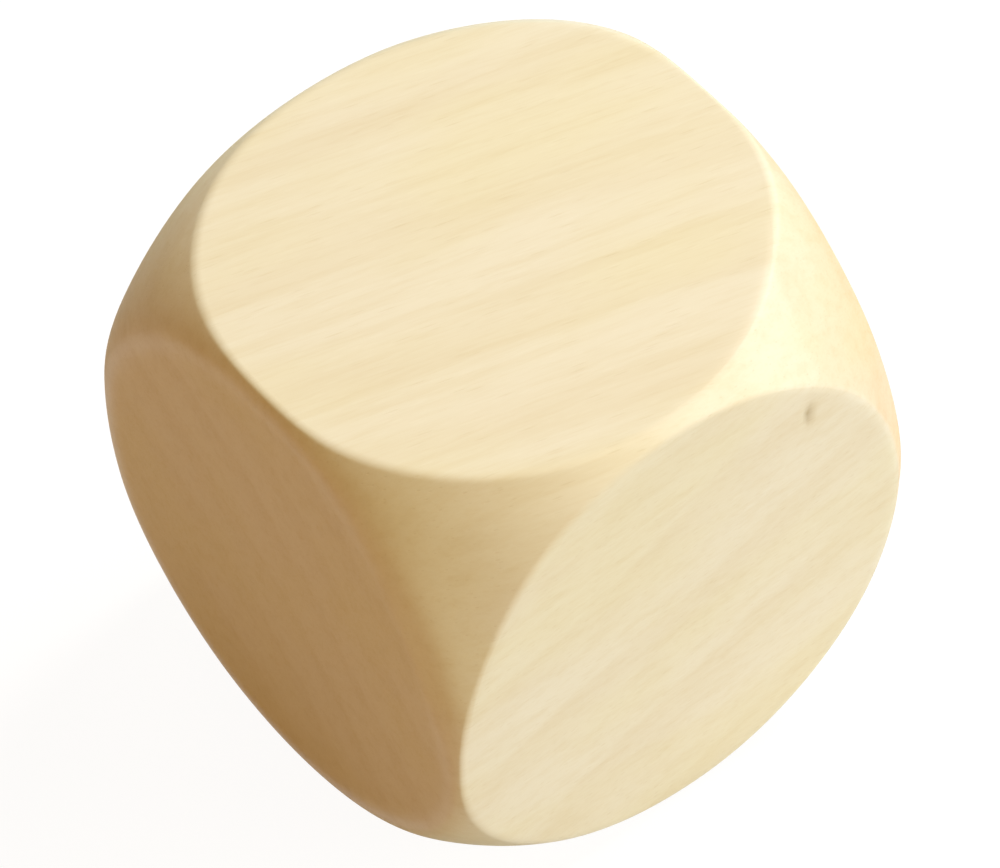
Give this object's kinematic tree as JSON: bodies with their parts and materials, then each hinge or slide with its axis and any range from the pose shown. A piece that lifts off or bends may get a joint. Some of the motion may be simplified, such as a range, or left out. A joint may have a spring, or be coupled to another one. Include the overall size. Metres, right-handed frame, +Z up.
{
  "type": "wooden cube",
  "caption": "Plain pale wooden cube in blank-die form, with ball-rounded corners and round flats that meet them at softened rims.",
  "frame": {"origin": "middle of the flat that the cube stands on", "axes": "+Z up through the middle of the cube, +X and +Y through the middles of two side flats; the grain runs along Y"},
  "size_m": [0.025, 0.025, 0.025],
  "materials": {
    "wood": "fine-sanded bare pale wood, satin on the tumbled rims"
  },
  "bodies": {
    "root": {"wooden_cube": "wood"}
  },
  "joints": []
}
